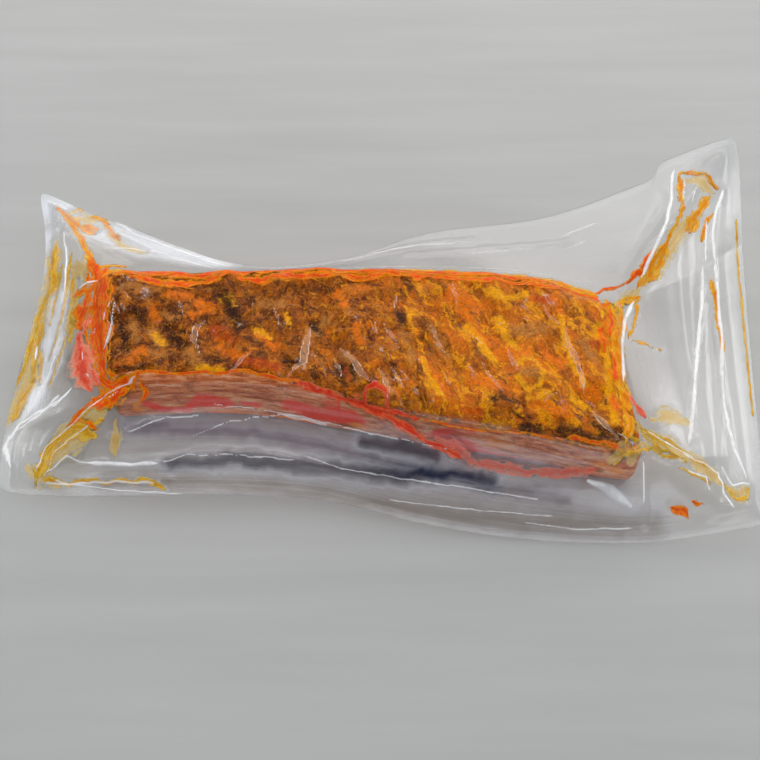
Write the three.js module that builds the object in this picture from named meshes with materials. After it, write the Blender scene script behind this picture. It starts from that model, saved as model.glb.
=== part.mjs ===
// A vacuum-sealed pouch of barbecue pork ribs, lying flat with its meaty side up.
//
// Two clear sheets are sealed together round all four edges, and the air is drawn out. The sheets
// grip the slab of ribs and its sauce, meet at a root line high on the slab's side, and lie on
// each other from there to the sealed rim. The two back corners curl up, and a channel of sauce
// runs from each corner of the slab to a small pocket near that corner of the pouch.
//
// The sealed pouch is one solid: its upper face is the upper sheet, its lower face the lower one.
// Both faces share one grid over the pouch, in three bands each way: the flange before the slab,
// the slab itself, and the flange behind it.
//
// Millimetres, +Z up. X runs along the slab, +Y points away from the viewer. The origin is the
// middle of the pouch's outer box, on the surface that it rests on.

import * as THREE from "three";

// ---- Driving dimensions ----

const SLAB_TOP = 38.5; // height of the slab's upper face above the table
const SLAB_LENGTH = 244; // slab and the sauce at its ends
const SLAB_WIDTH = 76; // at mid-length
const SIDE_ROUNDING = 12; // how far in the slab's top starts to fall to the root line, at its sides
const END_ROUNDING = 20; // and at its ends, where sauce fills the sheet's slope
const FOOT_INSET = 4; // how far the slab's foot stands in from its root line
const FLANGE_THICKNESS = 1.0; // both sheets with the film of sauce between them
const FLANGE_SAG = 1.9; // 1 is a straight slope from root to rim, more is a deeper hollow
const SEAL_START = 0.86; // the heat seal, as a share of the way from root to rim
const CORNER_CUT = 0.09; // how much the pouch's corners are rounded off, as a share of a patch
const PLEAT_STEP = 8; // the back rim steps outward at a pleat in the right-hand flange
const PLEAT = [0.09, 0.19]; // where that step begins and ends, from the slab's end to the rim

const RIB_PITCH = 25; // bones lie across the slab this far apart
const RIB_RISE = 0.9;
const RIB_SLANT = 0.35; // the ribs lean this much along X for each step along Y
const LUMP_SIZE = 15; // lumps of meat under the sheet
const LUMP_RISE = 2.3;
const CRAG_SIZE = 6;
const CRAG_RISE = 1.1;

const CHANNEL_RISE = 5.5; // sauce channel, at its highest, just outside the slab's corner
const CHANNEL_WIDTH = 7;
const CHANNEL_CREST = 0.16; // where it is highest, as a share of the way from root to rim
const POCKET_RISE = 3.5; // the pocket at its far end
const POCKET_WIDTH = 9;
const POCKET_AT = 0.68;
const FOLD_RISE = 2.4; // long folds that cross the right-hand flange from pocket to pocket
const FOLD_WIDTH = 4;
const FOLDS_AT = [0.45, 0.72];
const RELIEF_ENDS = 0.7; // channels and folds sink from here on, and are gone at the seal

// The sheet on which upper and lower film meet, as [x, y, height] at eight stations along the
// pouch: left rim, left end of the slab, four stations on the slab, its right end, right rim.
const MEETING_SHEET = {
  frontRim: [
    [-178, -84, 4],
    [-126, -88, 8],
    [-74, -88, 9],
    [-30, -90, 7],
    [14, -100, 4],
    [63, -107, 2],
    [116, -108, 2],
    [169, -101, 6],
  ],
  slabFront: [
    [-179, -52, 7],
    [-130, -44, 27],
    [-71, -42, 31],
    [-26, -50, 32],
    [19, -60, 32],
    [63, -68, 31],
    [111, -78, 27],
    [168, -63, 9],
  ],
  slabBack: [
    [-173, 40, 13],
    [-142, 23, 28],
    [-75, 20, 32],
    [-27, 21, 33],
    [21, 20, 33],
    [68, 16, 32],
    [106, 6, 29],
    [174, 46, 22],
  ],
  backRim: [
    [-183, 91, 15],
    [-136, 64, 18],
    [-79, 45, 10],
    [-28, 48, 9],
    [19, 59, 17],
    [77, 65, 22],
    [128, 83, 28],
    [177, 99, 38],
  ],
};

// ---- Grid ----

const FLANGE_CELLS = 11; // the same both ways, so that a channel runs along the corner's diagonal
const SLAB_COLUMNS = 40;
const SLAB_ROWS = 16;
const EDGE_CROWDING = 0.45; // 0 spaces the slab's lines evenly, 1 crowds them to its edges

// Where one grid line lies: band is -1 before the slab, 0 on it and 1 behind it, and share runs
// from 0 at the slab's edge to 1 at the rim in a flange, or from 0 to 1 across the slab.
function gridLines(slabCells) {
  const lines = [];
  for (let i = FLANGE_CELLS; i > 0; i--) lines.push({ band: -1, share: i / FLANGE_CELLS });
  for (let i = 0; i <= slabCells; i++) {
    const even = i / slabCells;
    const crowded = (1 - Math.cos(Math.PI * even)) / 2;
    lines.push({ band: 0, share: even + (crowded - even) * EDGE_CROWDING });
  }
  for (let i = 1; i <= FLANGE_CELLS; i++) lines.push({ band: 1, share: i / FLANGE_CELLS });
  return lines;
}

// ---- Smooth curves through the stations ----

const mix = (a, b, share) => a + (b - a) * share;
const sagged = (share) => 1 - (1 - share) ** FLANGE_SAG;
const ease = (f) => f * f * (3 - 2 * f);
const stepBetween = (low, high, at) => ease(Math.min(Math.max((at - low) / (high - low), 0), 1));

// Catmull-Rom through the values at whole numbers, held at both ends.
function through(values, at) {
  const last = values.length - 1;
  const i = Math.min(Math.floor(at), last - 1);
  const f = at - i;
  const [a, b, c, d] = [i - 1, i, i + 1, i + 2].map((k) => values[Math.min(Math.max(k, 0), last)]);
  const bend = f * (2 * a - 5 * b + 4 * c - d + f * (3 * b - 3 * c + d - a));
  return b + 0.5 * f * (c - a + bend);
}

// A grid line's place among the stations, of which the slab takes those from 1 to 1 + spans.
function stationOf(gridLine, spans) {
  if (gridLine.band < 0) return 1 - gridLine.share;
  return gridLine.band > 0 ? 1 + spans + gridLine.share : 1 + spans * gridLine.share;
}

// A height along a row of stations: a smooth curve on the slab, and in a flange a hollow slope that
// falls off steeply from the slab.
function heightThrough(heights, gridLine) {
  const spans = heights.length - 3;
  if (gridLine.band === 0) return through(heights, stationOf(gridLine, spans));
  const [root, rim] = gridLine.band < 0 ? [1, 0] : [spans + 1, spans + 2];
  return mix(heights[root], heights[rim], sagged(gridLine.share));
}

// The meeting sheet's point at a column and a line across the pouch.
function meetingPoint(column, line) {
  const rows = Object.values(MEETING_SHEET);
  const cut = column.band * line.band ? CORNER_CUT * (column.share * line.share) ** 8 : 0;
  const pulledIn = ({ band, share }) => ({ band, share: share - cut });
  const at = stationOf(pulledIn(column), rows[0].length - 3);
  const across = stationOf(pulledIn(line), rows.length - 3);
  const [x, y] = [0, 1].map((k) => through(rows.map((row) => through(row.map((p) => p[k]), at)), across));
  const height = heightThrough(rows.map((row) => heightThrough(row.map((p) => p[2]), column)), line);
  const inPleat = column.band > 0 && line.band > 0;
  const pleat = inPleat ? PLEAT_STEP * ease(line.share) * stepBetween(...PLEAT, column.share) : 0;
  return [x, y + pleat, height];
}

// ---- Relief ----

// A repeatable random number from 0 to 1 for a lattice point.
function dice(i, j) {
  const n = Math.sin(i * 127.1 + j * 311.7) * 43758.5453;
  return n - Math.floor(n);
}

// Smooth noise from -1 to 1, with lumps about one unit across.
function noise(x, y) {
  const [i, j] = [Math.floor(x), Math.floor(y)];
  const [u, v] = [ease(x - i), ease(y - j)];
  const low = mix(dice(i, j), dice(i + 1, j), u);
  const high = mix(dice(i, j + 1), dice(i + 1, j + 1), u);
  return 2 * mix(low, high, v) - 1;
}

// The slab's own relief: bones across it, lumps of meat, and small crags.
function meatRelief(x, y) {
  const ribs = Math.cos((2 * Math.PI * (x + RIB_SLANT * y)) / RIB_PITCH);
  const lumps = noise(x / LUMP_SIZE, y / LUMP_SIZE);
  const crags = noise(x / CRAG_SIZE + 7, y / CRAG_SIZE + 3);
  return RIB_RISE * ribs + LUMP_RISE * lumps + CRAG_RISE * crags;
}

const bell = (distance, width) => Math.exp(-((distance / width) ** 2));

// The height of a quarter-round step, 0 at its foot and 1 where share is 1 or more.
const quarterRound = (share) => Math.sqrt(1 - (1 - Math.min(share, 1)) ** 2);

// The mean side of a corner's patch, from the slab's corner to the pouch's.
function patchSize(column, line) {
  const rows = Object.values(MEETING_SHEET);
  const root = rows[line.band < 0 ? 1 : 2].at(column.band < 0 ? 1 : -2);
  const rim = rows[line.band < 0 ? 0 : 3].at(column.band < 0 ? 0 : -1);
  return (Math.abs(rim[0] - root[0]) + Math.abs(rim[1] - root[1])) / 2;
}

// How far the upper sheet stands off the meeting sheet in a flange: the sauce channel and pocket
// along a corner's diagonal, and the folds across the right-hand flange.
function flangeRelief(column, line) {
  const along = column.band === 0 ? 0 : column.share;
  const across = line.band === 0 ? 0 : line.share;
  let rise = 0;
  if (column.band !== 0 && line.band !== 0) {
    const size = patchSize(column, line);
    const way = (along + across) / 2;
    const aside = ((along - across) * size) / Math.SQRT2;
    const swell = way < CHANNEL_CREST ? way / CHANNEL_CREST : (1 - way) / (1 - CHANNEL_CREST);
    rise += CHANNEL_RISE * ease(swell) * bell(aside, CHANNEL_WIDTH);
    const fromPocket = (way - POCKET_AT) * size * Math.SQRT2;
    rise += POCKET_RISE * bell(fromPocket, POCKET_WIDTH) * bell(aside, POCKET_WIDTH);
  }
  if (column.band > 0) {
    const flangeWidth = MEETING_SHEET.slabBack.at(-1)[0] - MEETING_SHEET.slabBack.at(-2)[0];
    const fading = 1 - ease(across);
    for (const at of FOLDS_AT) rise += FOLD_RISE * fading * bell((along - at) * flangeWidth, FOLD_WIDTH);
  }
  return rise * (1 - stepBetween(RELIEF_ENDS, SEAL_START, Math.max(along, across)));
}

// ---- The two sheets ----

// The way in over the slab's rounded edge: 0 at the root line, 1 where the rounding ends.
function wayIn(column, line, endRounding, sideRounding) {
  const fromEnd = Math.min(column.share, 1 - column.share) * SLAB_LENGTH;
  const fromSide = Math.min(line.share, 1 - line.share) * SLAB_WIDTH;
  const short = [1 - fromEnd / endRounding, 1 - fromSide / sideRounding];
  return Math.max(1 - Math.hypot(...short.map((s) => Math.max(s, 0))), 0);
}

// The heights of the upper and the lower sheet.
function sheetHeights(column, line, [x, y, meeting]) {
  const half = FLANGE_THICKNESS / 2;
  if (column.band !== 0 || line.band !== 0)
    return [meeting + half + flangeRelief(column, line), meeting - half];
  const crown = SLAB_TOP + meatRelief(x, y);
  const upper = mix(meeting + half, crown, quarterRound(wayIn(column, line, END_ROUNDING, SIDE_ROUNDING)));
  const foot = wayIn(column, line, FOOT_INSET, FOOT_INSET);
  return [upper, foot < 1 ? (meeting - half) * (1 - quarterRound(foot)) : 0];
}

// ---- One closed surface ----

function pouchGeometry() {
  const columns = gridLines(SLAB_COLUMNS);
  const lines = gridLines(SLAB_ROWS);
  const [nx, ny] = [columns.length, lines.length];
  const positions = [];
  for (const side of [0, 1])
    for (const line of lines)
      for (const column of columns) {
        const point = meetingPoint(column, line);
        positions.push(point[0], point[1], sheetHeights(column, line, point)[side]);
      }

  const corner = (side, i, j) => side * nx * ny + j * nx + i;
  const faces = [];
  const quad = (a, b, c, d) => faces.push(a, b, c, a, c, d);
  for (let j = 0; j < ny - 1; j++)
    for (let i = 0; i < nx - 1; i++) {
      // Each cell is split along the diagonal that points from the slab to the rim.
      const rising = i < nx / 2 === j < ny / 2;
      const upper = [[i, j], [i + 1, j], [i + 1, j + 1], [i, j + 1]].map(([a, b]) => corner(0, a, b));
      const lower = [[i, j], [i, j + 1], [i + 1, j + 1], [i + 1, j]].map(([a, b]) => corner(1, a, b));
      const turned = (q) => (rising ? q : [...q.slice(1), q[0]]);
      quad(...turned(upper));
      quad(...turned(lower));
    }

  // The rim joins the two sheets, anticlockwise as seen from above.
  const rim = [];
  for (let i = 0; i < nx - 1; i++) rim.push([i, 0]);
  for (let j = 0; j < ny - 1; j++) rim.push([nx - 1, j]);
  for (let i = nx - 1; i > 0; i--) rim.push([i, ny - 1]);
  for (let j = ny - 1; j > 0; j--) rim.push([0, j]);
  rim.forEach(([i, j], k) => {
    const [m, n] = rim[(k + 1) % rim.length];
    quad(corner(1, i, j), corner(1, m, n), corner(0, m, n), corner(0, i, j));
  });

  const geometry = new THREE.BufferGeometry();
  geometry.setAttribute("position", new THREE.Float32BufferAttribute(positions, 3));
  geometry.setIndex(faces);
  geometry.computeBoundingBox();
  const middle = geometry.boundingBox.getCenter(new THREE.Vector3());
  geometry.translate(-middle.x, -middle.y, 0);
  geometry.computeVertexNormals();
  return geometry;
}

const film = new THREE.MeshStandardMaterial({ color: 0xb8682a, roughness: 0.25, metalness: 0 });

const pouch = new THREE.Mesh(pouchGeometry(), film);
pouch.name = "pouch";

const pack = new THREE.Group();
pack.add(pouch);

export default pack;
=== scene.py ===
import math

import bmesh
import bpy
import numpy as np
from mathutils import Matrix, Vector


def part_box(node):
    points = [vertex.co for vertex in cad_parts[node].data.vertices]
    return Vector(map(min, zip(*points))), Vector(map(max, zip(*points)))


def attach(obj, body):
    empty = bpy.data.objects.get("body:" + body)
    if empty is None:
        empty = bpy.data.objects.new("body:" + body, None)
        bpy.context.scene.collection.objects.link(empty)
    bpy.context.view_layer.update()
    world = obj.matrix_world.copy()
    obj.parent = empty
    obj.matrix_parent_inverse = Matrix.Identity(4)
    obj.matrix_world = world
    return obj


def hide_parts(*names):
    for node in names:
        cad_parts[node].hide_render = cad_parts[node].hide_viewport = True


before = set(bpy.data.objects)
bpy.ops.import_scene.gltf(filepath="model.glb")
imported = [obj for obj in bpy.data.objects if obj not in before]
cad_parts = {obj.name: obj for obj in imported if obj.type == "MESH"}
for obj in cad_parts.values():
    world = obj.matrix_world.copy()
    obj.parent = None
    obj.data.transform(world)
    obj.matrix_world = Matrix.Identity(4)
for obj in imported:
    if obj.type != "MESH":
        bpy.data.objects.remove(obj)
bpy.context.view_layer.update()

# ---- The table, the light and the view ----
# The pack lies on a pale table in soft light that comes from behind and above, so the flanges
# behind the slab shine white and the slab's shadow falls towards the viewer.

VIEW_ELEVATION = math.radians(55)
VIEW_DISTANCE = 0.6375
VIEW_TARGET = Vector((-0.0033, -0.0173, 0))
SENSOR_WIDTH = 36
LENS = 62.8
ROOM_COLOUR = (0.8, 0.88, 1.0, 1)
ROOM_STRENGTH = 0.22
TABLE_HALF_WIDTH = 3
TABLE_TONES = (0.41, 0.412, 0.4, 1), (0.52, 0.522, 0.507, 1)
TABLE_STREAKS = (6, 60, 1)
TABLE_ROUGHNESS = 0.6

camera_data = bpy.data.cameras.new("view")
camera_data.sensor_width = SENSOR_WIDTH
camera_data.lens = LENS
camera = bpy.data.objects.new("view", camera_data)
backwards = Vector((0, -math.cos(VIEW_ELEVATION), math.sin(VIEW_ELEVATION)))
camera.location = VIEW_TARGET + VIEW_DISTANCE * backwards
camera.rotation_euler = backwards.to_track_quat("Z", "Y").to_euler()
bpy.context.collection.objects.link(camera)
bpy.context.scene.camera = camera
bpy.context.scene.view_settings.view_transform = "Standard"


def add_soft_light(name, place, width, depth, watts, colour):
    """A large flat lamp at place, in metres, that faces the pack."""
    lamp = bpy.data.lights.new(name, "AREA")
    lamp.shape = "RECTANGLE"
    lamp.size = width
    lamp.size_y = depth
    lamp.energy = watts
    lamp.color = colour
    holder = bpy.data.objects.new(name, lamp)
    holder.location = place
    holder.rotation_euler = Vector(place).to_track_quat("Z", "Y").to_euler()
    bpy.context.collection.objects.link(holder)


add_soft_light("window", (0.2, 1.25, 0.7), 3.0, 1.0, 16.5, (1.0, 0.97, 0.93))
add_soft_light("ceiling", (-0.1, 0.2, 1.6), 1.5, 0.8, 2.8, (1.0, 0.97, 0.93))
add_soft_light("overhead strip", (0, 0.15, 1.5), 1.4, 0.1, 2.4, (1.0, 1.0, 1.0))
add_soft_light("skylight", (0.02, 0.86, 1.23), 0.3, 0.4, 1.4, (1.0, 1.0, 1.0))
add_soft_light("left lamp", (-0.95, 0.45, 0.9), 0.3, 0.6, 3.2, (1.0, 1.0, 1.0))
add_soft_light("right lamp", (0.95, 0.4, 0.85), 0.3, 0.6, 3.2, (1.0, 1.0, 1.0))
add_soft_light("room behind the viewer", (0.1, -1.5, 0.45), 2.4, 0.6, 10, (0.9, 0.94, 1.0))

world = bpy.data.worlds.new("room")
world.use_nodes = True
background = world.node_tree.nodes["Background"]
background.inputs["Color"].default_value = ROOM_COLOUR
background.inputs["Strength"].default_value = ROOM_STRENGTH
bpy.context.scene.world = world

table_mesh = bmesh.new()
bmesh.ops.create_grid(table_mesh, x_segments=1, y_segments=1, size=TABLE_HALF_WIDTH)
table_data = bpy.data.meshes.new("table")
table_mesh.to_mesh(table_data)
table_mesh.free()
table = bpy.data.objects.new("table", table_data)
bpy.context.collection.objects.link(table)


def new_material(name):
    """A material whose Principled shader is returned with its node tree."""
    material = bpy.data.materials.new(name)
    material.use_nodes = True
    tree = material.node_tree
    return material, tree, tree.nodes["Principled BSDF"]


def add_node(tree, kind, values=(), **settings):
    """A node with its settings, and its input sockets filled from values or joined to sockets."""
    node = tree.nodes.new(kind)
    for key, value in settings.items():
        setattr(node, key, value)
    for socket, value in dict(values).items():
        if isinstance(value, bpy.types.NodeSocket):
            tree.links.new(value, node.inputs[socket])
        else:
            node.inputs[socket].default_value = value
    return node


def blended(tree, share, first, second):
    """The colour between two colours, by share."""
    node = add_node(tree, "ShaderNodeMix", {0: share, 6: first, 7: second}, data_type="RGBA")
    return node.outputs[2]


def own_places(tree):
    """The object's own coordinates, in metres."""
    return add_node(tree, "ShaderNodeTexCoord").outputs["Object"]


def stretched(tree, vector, scale, turn=0.0):
    """Places turned about Z and then scaled each way."""
    turned = add_node(tree, "ShaderNodeMapping", {"Vector": vector, "Rotation": (0, 0, turn)})
    return add_node(tree, "ShaderNodeMapping", {"Vector": turned.outputs[0], "Scale": scale}).outputs[0]


def cloudy(tree, vector, grain, detail, roughness=0.5, distortion=0.0):
    """Cloudy noise, as Fac and as Color, with grain patches for each unit of the vector."""
    return add_node(tree, "ShaderNodeTexNoise", {
        "Vector": vector, "Scale": grain, "Detail": detail, "Roughness": roughness,
        "Distortion": distortion}).outputs


table_top, tree, shader = new_material("table_top")
grain = cloudy(tree, stretched(tree, own_places(tree), TABLE_STREAKS), 1, 6)["Fac"]
tree.links.new(blended(tree, grain, *TABLE_TONES), shader.inputs["Base Color"])
shader.inputs["Roughness"].default_value = TABLE_ROUGHNESS
table_data.materials.append(table_top)

# ---- The pouch's form ----
# Two clear sheets, sealed together round all four edges, grip the slab and lie on each other in
# the flanges. The numbers are those of the solid model, in millimetres.

SLAB_TOP = 38.5
SLAB_LENGTH = 244
SLAB_WIDTH = 76
SIDE_ROUNDING = 12
END_ROUNDING = 20
FOOT_INSET = 4
FLANGE_THICKNESS = 1.0
FLANGE_SAG = 1.9
SEAL_START = 0.86
CORNER_CUT = 0.09
CORNER_SHARPNESS = 8
PLEAT_STEP = 8
PLEAT = (0.09, 0.19)
RIB_PITCH = 25
RIB_RISE = 0.9
RIB_SLANT = 0.35
LUMP_SIZE = 15
LUMP_RISE = 2.3
CRAG_SIZE = 6
CRAG_RISE = 1.1
CHANNEL_RISE = 5.5
CHANNEL_WIDTH = 7
CHANNEL_CREST = 0.16
POCKET_RISE = 3.5
POCKET_WIDTH = 9
POCKET_AT = 0.68
FOLD_RISE = 2.4
FOLD_WIDTH = 4
FOLDS_AT = (0.45, 0.72)
RELIEF_ENDS = 0.7
MEETING_SHEET = np.array([
    [[-178, -84, 4], [-126, -88, 8], [-74, -88, 9], [-30, -90, 7],
     [14, -100, 4], [63, -107, 2], [116, -108, 2], [169, -101, 6]],
    [[-179, -52, 7], [-130, -44, 27], [-71, -42, 31], [-26, -50, 32],
     [19, -60, 32], [63, -68, 31], [111, -78, 27], [168, -63, 9]],
    [[-173, 40, 13], [-142, 23, 28], [-75, 20, 32], [-27, 21, 33],
     [21, 20, 33], [68, 16, 32], [106, 6, 29], [174, 46, 22]],
    [[-183, 91, 15], [-136, 64, 18], [-79, 45, 10], [-28, 48, 9],
     [19, 59, 17], [77, 65, 22], [128, 83, 28], [177, 99, 38]],
], float)


def grid_lines(flange_cells, slab_cells, crowding):
    """The band (-1, 0 or 1) and share (0 to 1) of each grid line, as in the solid model."""
    out = np.arange(flange_cells, 0, -1) / max(flange_cells, 1)
    even = np.arange(slab_cells + 1) / slab_cells
    slab = even + ((1 - np.cos(np.pi * even)) / 2 - even) * crowding
    band = np.concatenate([-np.ones(flange_cells), np.zeros(slab_cells + 1), np.ones(flange_cells)])
    return band, np.concatenate([out, slab, out[::-1]])


def mix(a, b, share):
    return a + (b - a) * share


def ease(f):
    return f * f * (3 - 2 * f)


def step_between(low, high, at):
    return ease(np.clip((at - low) / (high - low), 0, 1))


def sagged(share):
    return 1 - (1 - np.clip(share, 0, 1)) ** FLANGE_SAG


def bell(distance, width):
    return np.exp(-((distance / width) ** 2))


def through(values, at):
    """A Catmull-Rom curve through stacked values at whole numbers, read at each place in at."""
    last = len(values) - 1
    i = np.minimum(np.floor(at), last - 1).astype(int)
    f = at - i
    picked = [np.choose(np.clip(i + k, 0, last), values) for k in (-1, 0, 1, 2)]
    a, b, c, d = picked
    bend = f * (2 * a - 5 * b + 4 * c - d + f * (3 * b - 3 * c + d - a))
    return b + 0.5 * f * (c - a + bend)


def station_of(band, share, spans):
    return np.where(band < 0, 1 - share, np.where(band > 0, 1 + spans + share, 1 + spans * share))


def height_through(heights, band, share):
    """A height along stacked stations: a smooth curve on the slab, a hollow slope in a flange."""
    spans = len(heights) - 3
    on_slab = through(heights, np.clip(station_of(band, share, spans), 0, spans + 2))
    falling = sagged(share)
    before = mix(heights[1], heights[0], falling)
    after = mix(heights[spans + 1], heights[spans + 2], falling)
    return np.where(band < 0, before, np.where(band > 0, after, on_slab))


def meeting_points(column, line):
    """X, Y and Z of the sheet where both films meet, for grids of (band, share) both ways."""
    (cb, cs), (lb, ls) = column, line
    cut = np.where((cb != 0) & (lb != 0), CORNER_CUT * (cs * ls) ** CORNER_SHARPNESS, 0)
    at = station_of(cb, cs - cut, MEETING_SHEET.shape[1] - 3)
    across = station_of(lb, ls - cut, MEETING_SHEET.shape[0] - 3)
    plan = []
    for k in (0, 1):
        rows = [through([np.full_like(at, p) for p in row[:, k]], at) for row in MEETING_SHEET]
        plan.append(through(rows, across))
    rows = [height_through([np.full_like(at, p) for p in row[:, 2]], cb, cs) for row in MEETING_SHEET]
    height = height_through(rows, lb, ls)
    pleat = np.where((cb > 0) & (lb > 0), PLEAT_STEP * ease(ls) * step_between(*PLEAT, cs), 0)
    return plan[0], plan[1] + pleat, height


def noise(x, y):
    """Smooth noise from -1 to 1 with lumps about one unit across, the same as in the solid."""
    def dice(i, j):
        n = np.sin(i * 127.1 + j * 311.7) * 43758.5453
        return n - np.floor(n)
    i, j = np.floor(x), np.floor(y)
    u, v = ease(x - i), ease(y - j)
    low = mix(dice(i, j), dice(i + 1, j), u)
    high = mix(dice(i, j + 1), dice(i + 1, j + 1), u)
    return 2 * mix(low, high, v) - 1


def meat_relief(x, y):
    ribs = np.cos(2 * np.pi * (x + RIB_SLANT * y) / RIB_PITCH)
    lumps = noise(x / LUMP_SIZE, y / LUMP_SIZE)
    crags = noise(x / CRAG_SIZE + 7, y / CRAG_SIZE + 3)
    return RIB_RISE * ribs + LUMP_RISE * lumps + CRAG_RISE * crags


def flange_relief(column, line):
    """How far the upper sheet stands off in the flanges: channels, pockets and folds."""
    (cb, cs), (lb, ls) = column, line
    along, across = np.where(cb == 0, 0, cs), np.where(lb == 0, 0, ls)
    root = MEETING_SHEET[np.where(lb < 0, 1, 2), np.where(cb < 0, 1, -2)]
    rim = MEETING_SHEET[np.where(lb < 0, 0, 3), np.where(cb < 0, 0, -1)]
    size = np.abs(rim - root)[..., :2].sum(-1) / 2
    way = (along + across) / 2
    aside = (along - across) * size / math.sqrt(2)
    swell = np.where(way < CHANNEL_CREST, way / CHANNEL_CREST, (1 - way) / (1 - CHANNEL_CREST))
    channel = CHANNEL_RISE * ease(swell) * bell(aside, CHANNEL_WIDTH)
    from_pocket = (way - POCKET_AT) * size * math.sqrt(2)
    pocket = POCKET_RISE * bell(from_pocket, POCKET_WIDTH) * bell(aside, POCKET_WIDTH)
    rise = np.where((cb != 0) & (lb != 0), channel + pocket, 0)
    flange_width = MEETING_SHEET[2, -1, 0] - MEETING_SHEET[2, -2, 0]
    for at in FOLDS_AT:
        fold = FOLD_RISE * (1 - ease(across)) * bell((along - at) * flange_width, FOLD_WIDTH)
        rise = rise + np.where(cb > 0, fold, 0)
    return rise * (1 - step_between(RELIEF_ENDS, SEAL_START, np.maximum(along, across)))


def quarter_round(share):
    return np.sqrt(1 - (1 - np.minimum(share, 1)) ** 2)


def way_in(column, line, end_rounding, side_rounding):
    """The way in over the slab's rounded edge: 0 at the root line, 1 where the rounding ends."""
    from_end = np.minimum(column[1], 1 - column[1]) * SLAB_LENGTH
    from_side = np.minimum(line[1], 1 - line[1]) * SLAB_WIDTH
    short = np.hypot(np.maximum(1 - from_end / end_rounding, 0),
                     np.maximum(1 - from_side / side_rounding, 0))
    return np.maximum(1 - short, 0)


def sheet_heights(column, line, x, y, meeting):
    """The heights of the upper and the lower sheet."""
    half = FLANGE_THICKNESS / 2
    in_flange = (column[0] != 0) | (line[0] != 0)
    rounding = quarter_round(way_in(column, line, END_ROUNDING, SIDE_ROUNDING))
    upper = mix(meeting + half, SLAB_TOP + meat_relief(x, y), rounding)
    foot = quarter_round(way_in(column, line, FOOT_INSET, FOOT_INSET))
    lower = (meeting - half) * (1 - foot)
    upper = np.where(in_flange, meeting + half + flange_relief(column, line), upper)
    return upper, np.where(in_flange, meeting - half, lower)


def pouch_grid(flange_cells, columns, rows, crowding):
    """The (band, share) grids both ways, and the unshifted X, Y and Z of the meeting sheet."""
    cb, cs = grid_lines(flange_cells, columns, crowding)
    lb, ls = grid_lines(flange_cells, rows, crowding)
    column = np.meshgrid(cb, lb)[0], np.meshgrid(cs, ls)[0]
    line = np.meshgrid(cb, lb)[1], np.meshgrid(cs, ls)[1]
    return column, line, *meeting_points(column, line)


SOLID_FLANGE_CELLS = 11
SOLID_COLUMNS = 40
SOLID_ROWS = 16
EDGE_CROWDING = 0.45

rims = pouch_grid(SOLID_FLANGE_CELLS, SOLID_COLUMNS, SOLID_ROWS, EDGE_CROWDING)
solid_low, solid_high = (np.array(corner) * 1000 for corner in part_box("pouch"))
SHIFT_X = (solid_low[0] + solid_high[0] - rims[2].min() - rims[2].max()) / 2
SHIFT_Y = (solid_low[1] + solid_high[1] - rims[3].min() - rims[3].max()) / 2

# ---- The slab of ribs ----
# A rack of pork ribs, roasted brown and brushed with sauce. It fills the pouch's middle, so its
# form is the pouch's own, just inside the film, with pits and grit where the meat is torn.

MEAT_COLUMNS = 270
MEAT_ROWS = 100
MEAT_GAP = 0.6
MEAT_INSET = 0.008
PIT_DEPTH = 1.2
HOLLOW_DEPTH = 0.72
HOLLOW_SIZE = (4, 3.4)
GRIT_DEPTH = 0.35
GRIT_SIZE = (1.7, 2.1)
TORN_FROM = (0.1, 0.7)
EDGE_SOFTNESS = 0.6
TEAR = 0.009
# Fibres begin between these X, in metres, and lie at this turn
FIBRES_FROM = (-0.07, 0.03)
FIBRE_TURN = math.radians(61)
FIBRE_STRETCH = (0.4, 1, 0.6)
SIDE_STRETCH = (0.3, 1, 1.6)
MEAT_SHINE = 0.08
RAGGED_DETAIL = 5
BUMP_STRENGTH = 0.6
# What a painted mask is far from all of its strokes
OUTSIDE = -9.0
WAVE_SIZE = 6
WAVELET_SIZE = 2.2
WAVELET_RISE = 0.6

# Where the roast is coloured dark and pitted, seen from above, as (width, points)
DARK_SPOTS = [
    (4, (-133, 3), (-132, -11), (-128, -24)), (5, (-122, -11), (-119, -24)),
    (5, (-117, -4), (-112, -10)), (6, (-102, -12), (-95, -23)), (7, (-76, 3), (-72, -5), (-68, -13)),
    (3, (-97, -14), (-94, -16)), (4, (-80, -31), (-73, -30)), (3, (-46, -32), (-39, -34)),
    (4, (-34, -10), (-31, -15)), (6, (-22, -35), (-20, -44)), (4, (-17, -37), (-14, -41)),
    (4, (5, -6), (7, -11)), (2.5, (47, -54), (54, -53), (60, -55)), (2, (32, -62), (50, -65)),
    (3, (60, -65), (75, -68), (98, -73)), (5, (91, -66), (101, -73)), (3, (-130, -34), (-110, -35)),
    (3, (18, -21), (20, -25)), (3, (54, -60), (62, -62)), (3, (-9, -15), (-6, -22)),
]
TAN_LUMPS = [
    (5, (-126, 8), (-118, 9), (-107, 9)), (4, (-117, -10), (-115, -21)), (5, (-109, -14), (-105, -22)),
    (4, (-108, -27), (-101, -29)), (3, (-103, -5), (-100, -8)), (7, (-90, -28), (-84, -35)),
    (4, (38, -3), (42, -3)), (7, (58, -15), (65, -17), (72, -14)), (5.5, (60, -38), (66, -41)),
    (4, (-38, -36), (-35, -14)), (5, (-28, -8), (-34, -18)), (4, (-12, -44), (-20, -28)),
    (4, (-2, -42), (2, -50)), (5, (88, -24), (93, -34)), (4, (20, -12), (27, -30)),
    (4, (90, -60), (97, -70)), (4, (8, -18), (12, -34)), (5, (-60, 2), (-48, 0)), (4, (0, -20), (3, -26)),
]
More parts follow.
